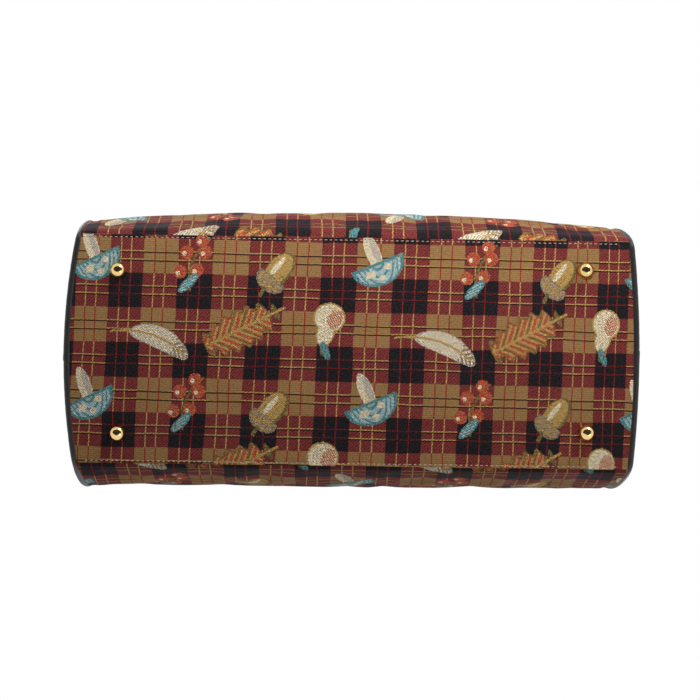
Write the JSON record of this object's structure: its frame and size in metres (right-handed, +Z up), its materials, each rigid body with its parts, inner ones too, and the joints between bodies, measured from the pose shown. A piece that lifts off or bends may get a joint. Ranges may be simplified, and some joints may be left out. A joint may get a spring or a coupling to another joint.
{
  "type": "holdall",
  "caption": "Soft woven holdall with a stiff flat base on dome feet, piped ends, a zip along the top and a pair of rolled handles on rings.",
  "frame": {"origin": "middle of the bounding box at the level of the feet", "axes": "+X along the bag's length to the closed end of the zip, -Y to the front, +Z up"},
  "size_m": [0.5296, 0.2646, 0.4651],
  "materials": {
    "tapestry": "woven check in tan, maroon and black, ribbed",
    "leatherette": "black, satin, fine grain",
    "brass": "polished, warm",
    "zip_tape": "black woven tape",
    "lining": "plain dark cloth",
    "board": "plain stiff board",
    "steel": "plain"
  },
  "bodies": {
    "bag": {"base_panel": "tapestry", "front_panel": "tapestry", "back_panel": "tapestry", "left_end_panel": "tapestry", "right_end_panel": "tapestry", "left_piping": "leatherette", "right_piping": "leatherette", "base_board": "board", "lining": "lining", "front_left_foot": "brass", "front_right_foot": "brass", "back_left_foot": "brass", "back_right_foot": "brass", "foot_washers": "steel", "front_zip_tape": "zip_tape", "back_zip_tape": "zip_tape", "front_zip_teeth": "brass", "back_zip_teeth": "brass", "zip_stops": "brass", "front_left_tab": "leatherette", "front_right_tab": "leatherette", "back_left_tab": "leatherette", "back_right_tab": "leatherette", "left_end_tab": "leatherette", "right_end_tab": "leatherette"},
    "zip_slider": {"zip_slider": "brass"},
    "zip_pull": {"zip_pull": "brass"},
    "front_left_ring": {"front_left_ring": "brass"},
    "front_right_ring": {"front_right_ring": "brass"},
    "front_handle": {"front_handle": "leatherette", "front_left_loop": "leatherette", "front_right_loop": "leatherette"},
    "back_left_ring": {"back_left_ring": "brass"},
    "back_right_ring": {"back_right_ring": "brass"},
    "back_handle": {"back_handle": "leatherette", "back_left_loop": "leatherette", "back_right_loop": "leatherette"},
    "left_d_ring": {"left_d_ring": "brass"},
    "right_d_ring": {"right_d_ring": "brass"}
  },
  "joints": [
    {"name": "zip_slide", "type": "slide", "parent": "bag", "child": "zip_slider", "axis": [-1, 0, 0], "range_m": [0, 0.415], "deforming": ["front_zip_teeth", "back_zip_teeth"]},
    {"name": "pull_swing", "type": "hinge", "parent": "zip_slider", "child": "zip_pull", "pos_m": [0.215, 0.0045, 0.31085], "axis": [0, 1, 0], "range_deg": [0, 150]},
    {"name": "front_left_ring_swing", "type": "hinge", "parent": "bag", "child": "front_left_ring", "pos_m": [-0.095, -0.0934, 0.25699], "axis": [1, 0, 0], "range_deg": [0, 120]},
    {"name": "front_right_ring_swing", "type": "hinge", "parent": "bag", "child": "front_right_ring", "pos_m": [0.095, -0.0934, 0.25699], "axis": [1, 0, 0], "range_deg": [0, 120]},
    {"name": "front_handle_swing", "type": "hinge", "parent": "front_left_ring", "child": "front_handle", "pos_m": [-0.095, -0.08725, 0.27067], "axis": [1, 0, 0], "range_deg": [0, 50]},
    {"name": "back_left_ring_swing", "type": "hinge", "parent": "bag", "child": "back_left_ring", "pos_m": [-0.095, 0.09811, 0.25463], "axis": [-1, 0, 0], "range_deg": [0, 120]},
    {"name": "back_right_ring_swing", "type": "hinge", "parent": "bag", "child": "back_right_ring", "pos_m": [0.095, 0.09811, 0.25463], "axis": [-1, 0, 0], "range_deg": [0, 120]},
    {"name": "back_handle_swing", "type": "hinge", "parent": "back_left_ring", "child": "back_handle", "pos_m": [-0.095, 0.09225, 0.26844], "axis": [-1, 0, 0], "range_deg": [0, 50]},
    {"name": "left_d_ring_swing", "type": "hinge", "parent": "bag", "child": "left_d_ring", "pos_m": [-0.26012, 0.0045, 0.26847], "axis": [0, 1, 0], "range_deg": [0, 150]},
    {"name": "right_d_ring_swing", "type": "hinge", "parent": "bag", "child": "right_d_ring", "pos_m": [0.26012, 0.0045, 0.26847], "axis": [0, -1, 0], "range_deg": [0, 150]}
  ],
  "couplings": [
    {"joint": "front_right_ring_swing", "follows": "front_left_ring_swing", "ratio": 1},
    {"joint": "back_right_ring_swing", "follows": "back_left_ring_swing", "ratio": 1}
  ]
}
